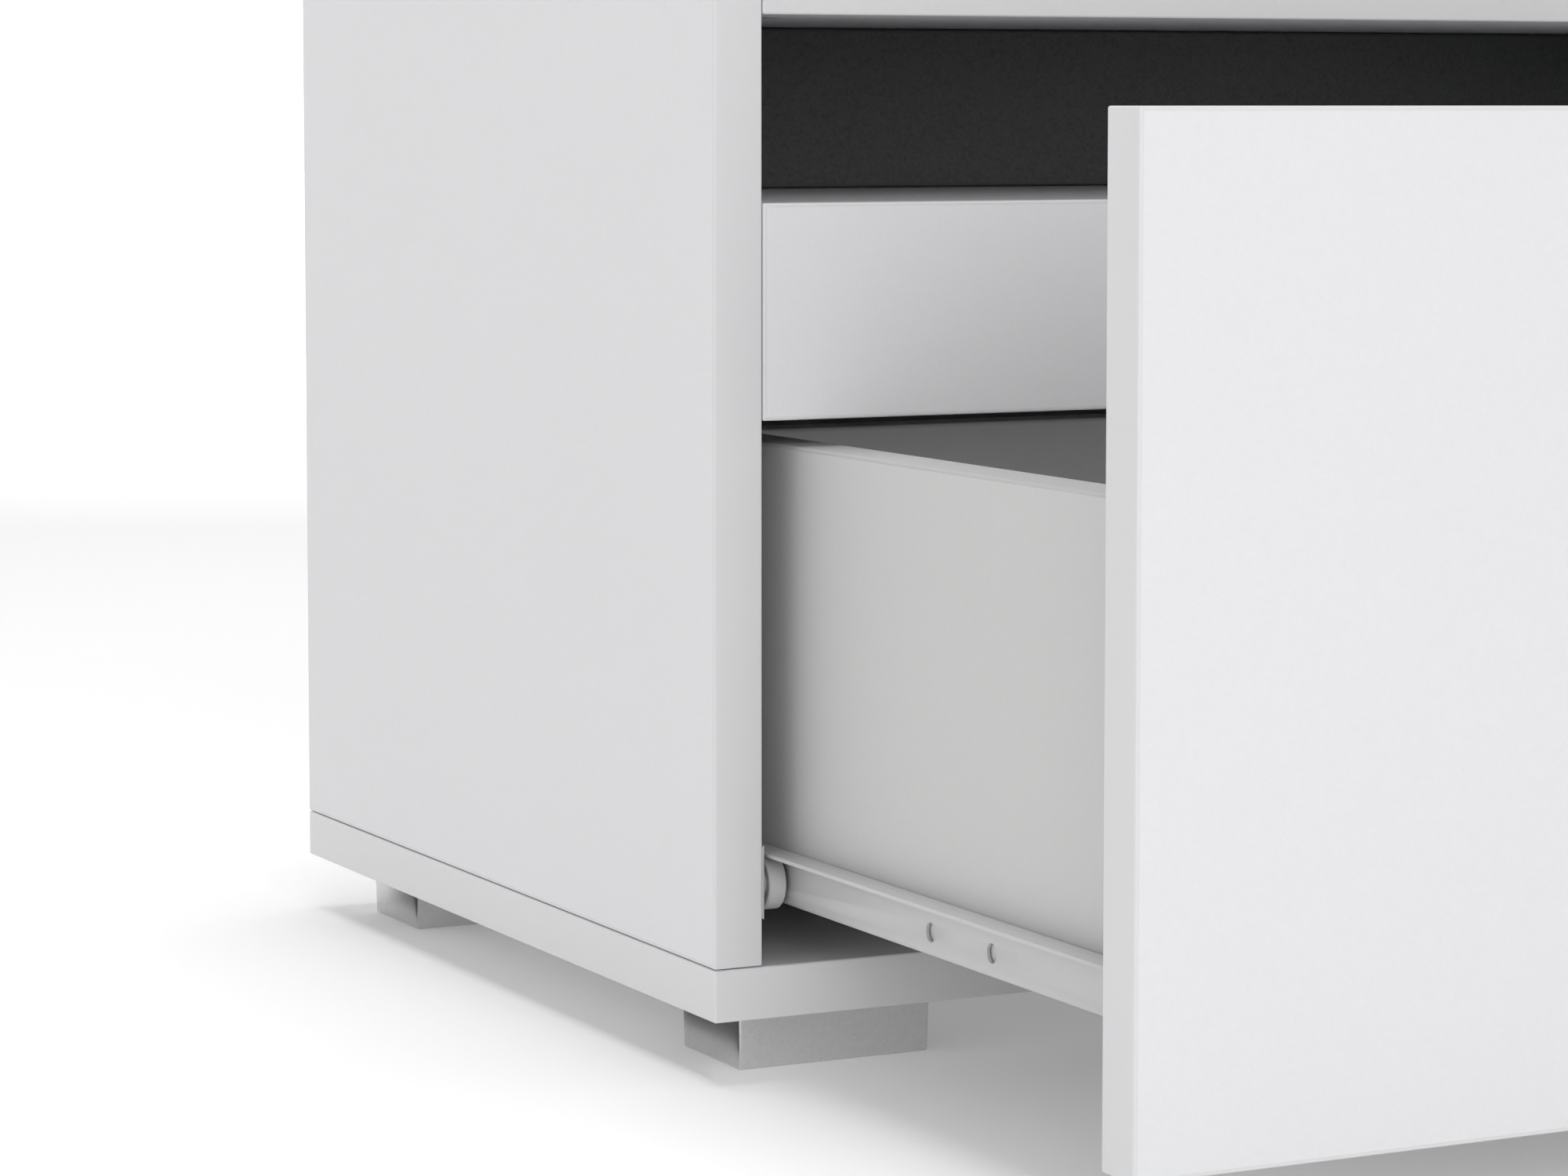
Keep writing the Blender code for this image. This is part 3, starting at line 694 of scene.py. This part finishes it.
class DRAWER_OT_cabinet_boards(bpy.types.Operator):
    """Builds the cabinet's boards: sides, bottom, top, rear panel, grip rail, ledge and recess panel"""
    bl_idname = "drawer.cabinet_boards"
    bl_label = "Cabinet Boards"

    def execute(self, context):
        drums = [drum_bore("cam_drum_" + word + "_" + place, AXES["Z"], 1)
                 for word in SIDES for place in ("front", "rear")]
        for node in ("side_panel_left", "side_panel_right", "bottom_panel"):
            board(node, "white", [groove_for("rear_panel")])
        board("top_panel", "white", [groove_for("rear_panel"), *drums])
        board("rear_panel", "white", radius=THIN_EDGE, band=0.0)
        for node in ("grip_rail", "grip_ledge"):
            board(node, "white")
        board("recess_panel", "anthracite")
        return {"FINISHED"}


class DRAWER_OT_drawer_boards(bpy.types.Operator):
    """Builds the drawer: its front, two sides, back and bottom sheet"""
    bl_idname = "drawer.drawer_boards"
    bl_label = "Drawer Boards"

    def execute(self, context):
        board("drawer_front", "white", [groove_for("drawer_bottom")])
        board("drawer_back", "drawer", [groove_for("drawer_bottom")])
        for word, sign in SIDES.items():
            drums = [drum_bore("cam_drum_drawer_" + word + "_" + place, AXES["X"], sign)
                     for place in ("lower", "upper")]
            board("drawer_side_" + word, "drawer", [groove_for("drawer_bottom"), *drums])
        board("drawer_bottom", "drawer", radius=THIN_EDGE, band=0.0)
        return {"FINISHED"}


# Slides.


HUB = 0.53  # radius of a roller's hub, as a share of the roller's
RING_SLOPE = 0.0003  # lean of the walls of the ring sunk into a roller's face
ROLLER_EDGE = 0.00018  # rounding of a roller's corners
PIN_EDGE = 0.0002  # chamfer at a pin's hidden end
SHORTEST_COLLAR = 0.001
DOME_ROWS = np.linspace(0.98, 0, 8)  # shares of a pin head's radius, from its rim to its middle


def strip_section(path, thickness):
    """The closed outline of a bent strip: the middle line moved half a thickness to each side. At a bend the
    move is longer by one over the cosine of half the turn."""
    step = np.diff(path, axis=0)
    step /= np.linalg.norm(step, axis=1, keepdims=True)
    before, after = np.vstack([step[:1], step]), np.vstack([step, step[-1:]])
    mean = before + after
    mean /= np.linalg.norm(mean, axis=1, keepdims=True)
    reach = thickness / 2 / (mean * after).sum(axis=1)
    normal = np.stack([-mean[:, 1], mean[:, 0]], axis=1) * reach[:, None]
    return np.vstack([path + normal, (path - normal)[::-1]])


def without_repeats(path):
    """A path without the points that stand on the one before."""
    keep = np.linalg.norm(np.diff(path, axis=0), axis=1) > WELD
    return path[np.concatenate([[True], keep])]


def rail_mesh(name, corners, side, wall, y_from, y_to):
    """A rail: the bent strip's section carried along Y. The corners are (distance from the side panel,
    height) along the middle of the strip, and wall is the X of that side panel's inner face."""
    sizes = slides()
    path = without_repeats(filleted(corners, sizes.bend, 6))
    section = strip_section(path, sizes.steel)
    grid = np.zeros((2, len(section), 3))
    grid[..., 0] = wall - side * section[:, 0]
    grid[..., 1] = np.array([y_from, y_to])[:, None]
    grid[..., 2] = section[:, 1]
    return mesh_of(name, [(grid, 0)], [(grid[0], 0), (grid[1], 0)])


def hole_mesh(centre, radius, reach):
    """A cylinder along X through a rail's web."""
    outline = [(-reach, 0), (-reach, radius), (reach, radius), (reach, 0)]
    return mesh_of("hole", [(turned_grid(outline, centre, (1, 0, 0), 48), 0)])


def inner_face(word, side):
    """The X of a side panel's inner face."""
    low, high = span("side_panel_" + word)
    return high[0] if side < 0 else low[0]


def section_of(node, wall):
    """The nearest and farthest that a rail comes to the side panel, and its lowest and highest, all measured
    to the middle of the strip."""
    half = slides().steel / 2
    low, high = span(node)
    near, far = sorted(abs(wall - x) for x in (low[0], high[0]))
    return near + half, far - half, low[2] + half, high[2] - half


class DRAWER_OT_rails(bpy.types.Operator):
    """Builds the fixed rails on the cabinet's sides and the runners under the drawer's sides"""
    bl_idname = "drawer.rails"
    bl_label = "Rails"

    def execute(self, context):
        for word, side in SIDES.items():
            wall = inner_face(word, side)
            self.fixed_rail("cabinet_rail_" + word, side, wall)
            self.runner("drawer_rail_" + word, side, wall, span("drawer_roller_pin_" + word))
        return {"FINISHED"}

    def fixed_rail(self, node, side, wall):
        """A channel open towards the drawer, without its flanges along the roller bay."""
        sizes = slides()
        low, high = span(node)
        near, far, bottom, top = section_of(node, wall)
        lip = far + sizes.steel / 2
        mesh = rail_mesh(node, [(lip, bottom), (near, bottom), (near, top), (lip, top)], side, wall,
                         low[1], high[1])
        web, beyond = wall - side * (near + sizes.steel / 2 + WELD), wall - side * 2 * lip
        bay = block_mesh((min(web, beyond), low[1] - lip, low[2] - lip),
                         (max(web, beyond), low[1] + sizes.bay, high[2] + lip), 0)
        piece(node, mesh, "white_steel", cutters=[bay], soften=STEEL_EDGE)

    def runner(self, node, side, wall, pin):
        """A shelf under the drawer's side, a web with two round holes, and a flange over the rollers. The
        web's outer face is where the roller's pin ends."""
        sizes = slides()
        low, high = span(node)
        near, far, bottom, top = section_of(node, wall)
        half = sizes.steel / 2
        web = max(abs(wall - x) for x in (pin[0][0], pin[1][0])) - half
        mesh = rail_mesh(node, [(far + half, bottom), (web, bottom), (web, top), (near - half, top)], side,
                         wall, low[1], high[1])
        height = (pin[0][2] + pin[1][2]) / 2
        holes = [hole_mesh((wall - side * web, low[1] + distance, height), sizes.hole_radius, sizes.steel)
                 for distance in (sizes.first_hole, sizes.second_hole)]
        piece(node, mesh, "white_steel", cutters=holes, soften=STEEL_EDGE)


class DRAWER_OT_rollers(bpy.types.Operator):
    """Builds the four plastic rollers and the riveted pins that they turn on"""
    bl_idname = "drawer.rollers"
    bl_label = "Rollers"

    def execute(self, context):
        for word in SIDES:
            for holder in ("cabinet", "drawer"):
                self.roller(holder + "_roller_" + word)
                self.pin(holder + "_roller_pin_" + word, holder + "_roller_" + word)
        return {"FINISHED"}

    def roller(self, node):
        """A wheel turned from an outline of tread, rims, sunk faces and hub, its corners rounded."""
        sizes = slides()
        low, high = span(node)
        half, radius = (high - low)[0] / 2, (high - low)[2] / 2
        hub, bore = HUB * radius, sizes.pin_radius + RUNNING
        rim, sunk = radius - sizes.rim, half - sizes.sunk
        face = [(half, bore), (half, hub), (sunk, hub + RING_SLOPE), (sunk, rim - RING_SLOPE), (half, rim),
                (half, radius - sizes.chamfer), (half - sizes.chamfer, radius)]
        back = [(-along, away) for along, away in reversed(face)]
        outline = filleted(face + back, ROLLER_EDGE, 4, closed=True)
        turned_piece(node, np.vstack([outline, outline[:1]]), (low + high) / 2, (1, 0, 0), "roller_plastic")

    def pin(self, node, roller):
        """A rivet: a shank, a collar where there is room for one before the roller, and past the roller a
        domed head whose height falls with the square of the distance from its middle."""
        sizes = slides()
        low, high = span(node)
        roller_low, roller_high = span(roller)
        before, after = roller_low[0] - low[0], high[0] - roller_high[0]
        sign = 1 if after < before else -1
        start = (low + high) / 2
        start[0] = low[0] if sign > 0 else high[0]
        reach, head_radius = (high - low)[0], (high - low)[2] / 2
        shank, head = sizes.pin_radius, reach - sizes.pin_head
        collar = (sizes.steel + FIT, max(before, after) - FIT)
        outline = [(0, 0), (0, shank - PIN_EDGE), (PIN_EDGE, shank)]
        if collar[1] - collar[0] > SHORTEST_COLLAR:
            outline += [(collar[0], shank), (collar[0], head_radius), (collar[1], head_radius),
                        (collar[1], shank)]
        outline += [(head, shank), (head, head_radius)]
        outline += [(reach - sizes.pin_head * share * share, head_radius * share) for share in DOME_ROWS]
        turned_piece(node, outline, start, (sign, 0, 0), "zinc")


# Feet.


class DRAWER_OT_feet(bpy.types.Operator):
    """Builds the four block feet"""
    bl_idname = "drawer.feet"
    bl_label = "Feet"

    def execute(self, context):
        for word in SIDES:
            for place in ("front", "rear"):
                self.foot("foot_" + place + "_" + word, "foot_screw_" + place + "_" + word)
        return {"FINISHED"}

    def foot(self, node, screw):
        """A drafted block: rounded rectangles carried down a side that leans in by the draft, round the edge
        of the sole and in to the screw well, where the ring turns into a circle."""
        sizes = feet()
        low, high = span(node)
        middle, half = (low + high) / 2, (high - low) / 2
        top, round_top, well_edge, sole_rim = high[2], 0.0003, 0.0004, 0.0006
        seat = span(screw)[0][2]
        draft, sole = sizes.draft, sizes.sole_edge
        turn = np.linspace(0, np.pi / 2, 7)
        lower = np.stack([draft + sole * (1 - np.cos(turn)), sole * (1 - np.sin(turn))], axis=1)
        side = [(round_top, top), (0.0, top - round_top)]
        profile = np.concatenate([np.array(side), lower, [(draft + sole + sole_rim, 0.0)]])
        rings = rounded_rectangle(half[0], half[1], sizes.corner + draft, profile[:, 0], steps=8, run=10)
        outer = self.lifted(rings, profile[:, 1], middle)
        angle = np.arctan2(rings[-1, :, 1], rings[-1, :, 0])
        circle = np.stack([np.cos(angle), np.sin(angle)], axis=-1)
        well = np.array([(sizes.well_radius + well_edge, 0.0), (sizes.well_radius, well_edge),
                         (sizes.well_radius, seat), (0.0, seat)])
        inner = self.lifted(circle[None] * well[:, :1, None], well[:, 1], middle)
        grid = np.concatenate([outer, inner])
        piece(node, mesh_of(node, [(grid, 0)], [(grid[0], 0)]), "silver_plastic")

    @staticmethod
    def lifted(rings, heights, middle):
        """Flat rings set round a middle, each at its own height."""
        grid = np.zeros((*rings.shape[:2], 3))
        grid[..., :2] = rings + middle[:2]
        grid[..., 2] = np.asarray(heights)[:, None]
        return grid


# Screws and cam locks. A share is of the radius of a screw's head or of a drum, unless a comment says more.


SCREW_SHANK, SCREW_HEAD, SCREW_RIM = 0.42, 0.58, 0.04
SCREW_CROSS, DRUM_CROSS = (0.62, 0.13), (0.5, 0.11)  # length and half the width of a recess's arm
DRUM_RECESS, DRUM_RIM, DRUM_WAIST = 0.0024, 0.0004, 0.0007
DRUM_GROOVE = (0.28, 0.32, 0.74, 0.78)  # shares of the drum's length
BALL, BALL_SWEEP = 0.0022, 0.75 * np.pi
NECK_END, NECK_RADIUS = 0.006, 0.0016
SHAFT_BEGIN, SHAFT_RADIUS = 0.0075, 0.0024
BOLT_ANCHOR, BOLT_COLLAR = 0.62, 0.002  # a share of the bolt's length, and a length
THREAD_CREASE = 40.0  # degrees that a fastener's faces turn before an edge counts as sharp
BOLT_TIP, TIP_RADIUS = 0.001, 0.6  # a length, and a share of the core's radius


def cross_recess(depth, radius, shares):
    """A cross sunk into a head's face. The floor rises from the middle to the arms' ends, and each wall leans
    over a tenth of a millimetre."""
    lean, arm, half_width = 0.0001, radius * shares[0], radius * shares[1]

    def sink(along, radius, angle):
        x, y = np.abs(radius * np.cos(angle)), np.abs(radius * np.sin(angle))
        inside = np.maximum(np.minimum(arm - x, half_width - y), np.minimum(arm - y, half_width - x))
        share = np.clip(inside / lean, 0, 1) * (1 - 0.5 * np.clip(radius / arm, 0, 1))
        face = along < 1e-9
        return np.where(face, along + depth * share, along), radius
    return sink


def threaded(begin, end, height, pitch, inner=None):
    """A thread as a ridge that climbs one pitch in each turn, and fades at both ends. The ridge's height at a
    point is a triangle wave of (along / pitch - angle / full turn)."""
    def sink(along, radius, angle):
        if inner:
            along, radius = inner(along, radius, angle)
        wave = np.abs(((along / pitch - angle / (2 * np.pi)) % 1.0) * 2 - 1)
        fade = np.clip((along - begin) / pitch, 0, 1) * np.clip((end - along) / pitch, 0, 1)
        return along, radius + height * wave * fade
    return sink


def rows_between(begin, end, count):
    """Rows of (along, radius) from one to the other, the first left out."""
    begin, end = np.array(begin), np.array(end)
    return begin + (end - begin) * (np.arange(1, count + 1) / count)[:, None]


class DRAWER_OT_fasteners(bpy.types.Operator):
    """Builds the screws of the feet and rails, and the cam drums and bolts of the boards"""
    bl_idname = "drawer.fasteners"
    bl_label = "Screws and Cam Locks"

    def execute(self, context):
        for node in sorted(frame["nodes"]):
            axis, sign = self.heading(node)
            if "_screw" in node:
                self.screw(node, axis, sign)
            elif node.startswith("cam_drum"):
                self.drum(node, axis, sign)
            elif node.startswith("cam_bolt"):
                self.bolt(node, axis, sign)
        return {"FINISHED"}

    @staticmethod
    def heading(node):
        """The axis that a fastener lies along, and the way that it points along it."""
        outwards = 1 if "right" in node else -1
        if node.startswith("cam_bolt_drawer"):
            return AXES["Y"], -1
        if node.startswith(("cam_drum_drawer", "cam_bolt", "cabinet_rail_screw")):
            return AXES["X"], outwards
        return AXES["Z"], 1

    @staticmethod
    def laid(node, axis, sign):
        """The middle of a fastener's outer end, its direction, its length and its radius."""
        low, high = span(node)
        place = (low + high) / 2
        place[axis] = low[axis] if sign > 0 else high[axis]
        direction = np.zeros(3)
        direction[axis] = sign
        others = [other for other in range(3) if other != axis]
        return place, direction, (high - low)[axis], (high - low)[others].max() / 2

    def screw(self, node, axis, sign):
        """A countersunk wood screw: a face with a cross recess, a rounded rim, a cone, a threaded shank and a
        point."""
        sizes = fasteners()
        place, direction, reach, radius = self.laid(node, axis, sign)
        shank, head, rim = radius * SCREW_SHANK, radius * SCREW_HEAD, radius * SCREW_RIM
        outline = np.vstack([[(0, 0)], rows_between((0, 0), (0, radius - rim), 22),
                             [(rim, radius)], [(head, shank)],
                             rows_between((head, shank), (reach - head, shank), 36),
                             rows_between((reach - head, shank), (reach, 0), 8)])
        recess = cross_recess(sizes.recess, radius, SCREW_CROSS)
        sink = threaded(head + sizes.pitch, reach - head / 2, sizes.thread, sizes.pitch, recess)
        turned_piece(node, outline, place, direction, "zinc", sink, THREAD_CREASE)

    def drum(self, node, axis, sign):
        """A cam drum: a cross recess in its face, a rounded rim and a groove round its body."""
        place, direction, reach, radius = self.laid(node, axis, sign)
        waist = radius - DRUM_WAIST
        groove = [(reach * share, away) for share, away in zip(DRUM_GROOVE, (radius, waist, waist, radius))]
        outline = np.vstack([[(0, 0)], rows_between((0, 0), (0, radius - DRUM_RIM), 30),
                             [(DRUM_RIM, radius), *groove, (reach, radius), (reach, 0)]])
        recess = cross_recess(DRUM_RECESS, radius, DRUM_CROSS)
        turned_piece(node, outline, place, direction, "zinc", recess, THREAD_CREASE)

    def bolt(self, node, axis, sign):
        """A cam bolt: a ball head and neck for the drum, a shaft with a collar, and a thread in the board."""
        sizes = fasteners()
        place, direction, reach, radius = self.laid(node, axis, sign)
        anchor, core = reach * BOLT_ANCHOR, radius - sizes.thread
        ball = np.linspace(0, BALL_SWEEP, 9)
        head = np.stack([BALL * (1 - np.cos(ball)), BALL * np.sin(ball)], axis=1)
        outline = np.vstack([head, [(NECK_END, NECK_RADIUS), (SHAFT_BEGIN, SHAFT_RADIUS),
                                    (anchor - BOLT_COLLAR, SHAFT_RADIUS), (anchor - BOLT_COLLAR, radius),
                                    (anchor, radius), (anchor, core)],
                             rows_between((anchor, core), (reach - BOLT_TIP, core), 30),
                             [(reach, core * TIP_RADIUS), (reach, 0)]])
        sink = threaded(anchor, reach, sizes.thread, sizes.pitch)
        turned_piece(node, outline, place, direction, "zinc", sink, THREAD_CREASE)


# Stage.


CAMERA_PLACE = (-0.82744, -1.25497, 0.29542)
CAMERA_YAW, CAMERA_PITCH = 0.4631, -0.0812
CAMERA_LENS, CAMERA_SHIFT = 103.36, -0.075
AIM = (0.0, -0.1, 0.15)  # what every light faces
LIGHTS = {  # where each square light stands, and its width
    "left": ((-2.7, -1.2, 1.0), 1.8),
    "front": ((-0.9, -3.0, 1.2), 1.6),
    "top": ((0.0, 0.0, 3.2), 2.0),
}
WALL_HEIGHT, WALL_BEND = 0.7, 0.3  # of the backdrop, as shares of its radius
GLOW_BEGIN, GLOW_RISE, GLOW_BLEND = 0.2, 0.3, 0.2
CARD_INSET, CARD_ENDS, CARD_THICKNESS = 0.005, 0.012, 0.0005


class DRAWER_OT_stage(bpy.types.Operator):
    """Sets the camera, the pale floor, the soft lights and the white surround"""
    bl_idname = "drawer.stage"
    bl_label = "Stage"

    def execute(self, context):
        scene = context.scene
        scene.view_settings.view_transform = "Standard"
        self.camera(scene)
        self.floor()
        self.surround(scene)
        for word, (place, width) in LIGHTS.items():
            self.light(word + "_light", place, width, getattr(settings("drawer_stage"), word + "_power"))
        # a hidden dark card that puts a painted dark reflection on the feet's sides
        self.card()
        return {"FINISHED"}

    @staticmethod
    def camera(scene):
        data = bpy.data.cameras.new("camera")
        data.sensor_width = 36.0
        data.lens = CAMERA_LENS
        data.shift_y = CAMERA_SHIFT
        data.clip_end = 50.0
        camera = placed("camera", data)
        camera.rotation_euler = (math.pi / 2 + CAMERA_PITCH, 0.0, -CAMERA_YAW)
        camera.location = CAMERA_PLACE
        scene.camera = camera

    @staticmethod
    def floor():
        """A flat disc that turns up at its rim into a wall, swept round Z. It glows behind the cabinet. The
        glow rises with a point's distance along the backdrop's direction, as a share of the radius."""
        sizes = settings("drawer_stage")
        bend = filleted([(0.0, 0.0), (0.0, sizes.radius), (sizes.radius * WALL_HEIGHT, sizes.radius)],
                        sizes.radius * WALL_BEND, 16)
        mesh = mesh_of("floor", [(turned_grid(bend, (0, 0, 0), (0, 0, 1), 96), 0)])
        mesh.flip_normals()
        made, tree, shader = blank_material("floor_white", 0.7)
        shader.inputs["Specular IOR Level"].default_value = 0.0
        tone = place_group(tree, "handling", Smears=0.01, Flecks=0.0)
        tinted(tree, shader, (0.88, 0.88, 0.88), [tone.outputs["Tone"]])
        along = tree.nodes.new("ShaderNodeVectorMath")
        along.operation = "DOT_PRODUCT"
        along.inputs[1].default_value = (math.sin(sizes.backdrop), math.cos(sizes.backdrop), 0.0)
        tree.links.new(object_coordinates(tree), along.inputs[0])
        cosine = math_node(tree, "DIVIDE", along.outputs["Value"], sizes.radius)
        rise = math_node(tree, "DIVIDE", math_node(tree, "SUBTRACT", cosine, GLOW_BEGIN), GLOW_RISE)
        behind = math_node(tree, "SMOOTH_MIN", rise, 1.0, GLOW_BLEND)
        glow = math_node(tree, "MAXIMUM", math_node(tree, "MULTIPLY", behind, sizes.glow),
                         sizes.floor_glow)
        shader.inputs["Emission Color"].default_value = (1.0, 1.0, 1.0, 1.0)
        tree.links.new(glow, shader.inputs["Emission Strength"])
        mesh.materials.append(made)
        mesh.shade_smooth()
        obj = placed("floor", mesh)

    @staticmethod
    def surround(scene):
        world = bpy.data.worlds.new("surround")
        world.use_nodes = True
        background = world.node_tree.nodes["Background"]
        background.inputs["Color"].default_value = (1.0, 1.0, 1.0, 1.0)
        background.inputs["Strength"].default_value = settings("drawer_stage").surround
        scene.world = world

    @staticmethod
    def card():
        """A low dark card under the left edge, out of the camera's sight and of diffuse light, that the
        feet's sides reflect: it stands there only to put a painted dark reflection on them, and it also casts
        shade on the floor under the edge.
        """
        low, high = span("bottom_panel")
        side = low[0] + CARD_INSET
        mesh = block_mesh((side, low[1] + CARD_ENDS, CARD_THICKNESS),
                          (side + CARD_THICKNESS, high[1] - CARD_ENDS, low[2] - FIT), 0)
        made, _, shader = blank_material("card_black", 0.9)
        shader.inputs["Base Color"].default_value = (0.02, 0.02, 0.02, 1.0)
        mesh.materials.append(made)
        obj = placed("dark_card", mesh)
        obj.visible_camera = False
        obj.visible_diffuse = False

    @staticmethod
    def light(name, place, width, watts):
        data = bpy.data.lights.new(name, "AREA")
        data.shape = "SQUARE"
        data.size = width
        data.energy = watts
        lamp = placed(name, data)
        lamp.location = place
        lamp.rotation_euler = (Vector(AIM) - Vector(place)).to_track_quat("-Z", "Y").to_euler()


class DRAWER_PT_panel(bpy.types.Panel):
    """Lists the builders of the drawer cabinet"""
    bl_idname = "DRAWER_PT_panel"
    bl_label = "Drawer Cabinet"
    bl_space_type = "VIEW_3D"
    bl_region_type = "UI"
    bl_category = "Drawer Cabinet"

    def draw(self, context):
        for builder in BUILDERS:
            self.layout.operator(builder.bl_idname)
        for name in PROPERTIES:
            box = self.layout.box()
            group = getattr(context.scene, name)
            for word in group.__annotations__:
                box.prop(group, word)


BUILDERS = (DRAWER_OT_cabinet_boards, DRAWER_OT_drawer_boards, DRAWER_OT_rails, DRAWER_OT_rollers,
            DRAWER_OT_feet, DRAWER_OT_fasteners, DRAWER_OT_stage)
PROPERTIES = {
    "drawer_boards": DRAWER_PG_boards,
    "drawer_slides": DRAWER_PG_slides,
    "drawer_feet": DRAWER_PG_feet,
    "drawer_fasteners": DRAWER_PG_fasteners,
    "drawer_stage": DRAWER_PG_stage,
}


def register():
    for made in (*PROPERTIES.values(), *BUILDERS, DRAWER_PT_panel):
        bpy.utils.register_class(made)
    for name, group in PROPERTIES.items():
        setattr(bpy.types.Scene, name, PointerProperty(type=group))


def unregister():
    for name in PROPERTIES:
        delattr(bpy.types.Scene, name)
    for made in reversed((*PROPERTIES.values(), *BUILDERS, DRAWER_PT_panel)):
        bpy.utils.unregister_class(made)


def main():
    register()
    bpy.ops.drawer.cabinet_boards()
    bpy.ops.drawer.drawer_boards()
    bpy.ops.drawer.rails()
    bpy.ops.drawer.rollers()
    bpy.ops.drawer.feet()
    bpy.ops.drawer.fasteners()
    bpy.ops.drawer.stage()


if __name__ == "__main__":
    main()
